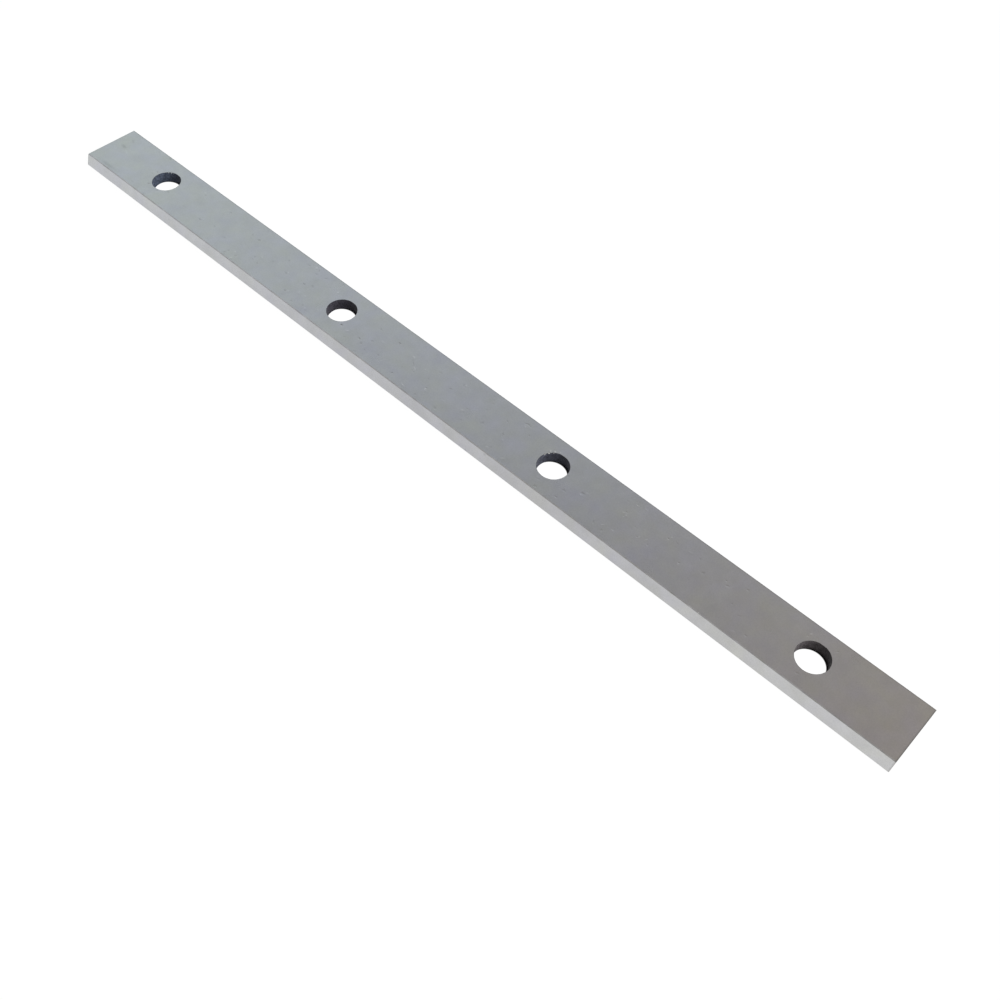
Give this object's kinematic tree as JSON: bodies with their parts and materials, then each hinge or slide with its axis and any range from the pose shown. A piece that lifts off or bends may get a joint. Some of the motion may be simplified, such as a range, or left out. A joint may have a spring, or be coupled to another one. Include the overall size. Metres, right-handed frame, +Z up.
{
  "type": "tile cutter blade",
  "caption": "Flat steel shear blade with a ground cutting edge and a row of plain bolt holes, which bolts to the head of a hand-lever floor tile cutter.",
  "frame": {"origin": "middle of the blade's outline, on the wide face that it lies on", "axes": "+X along the blade to the picture's right end, +Y from the cutting edge to the back edge, +Z up through the thickness"},
  "size_m": [0.3048, 0.0192, 0.0036],
  "materials": {
    "ground_steel": "satin ground tool steel with fine lengthwise grain"
  },
  "bodies": {
    "root": {"blade": "ground_steel"}
  },
  "joints": []
}
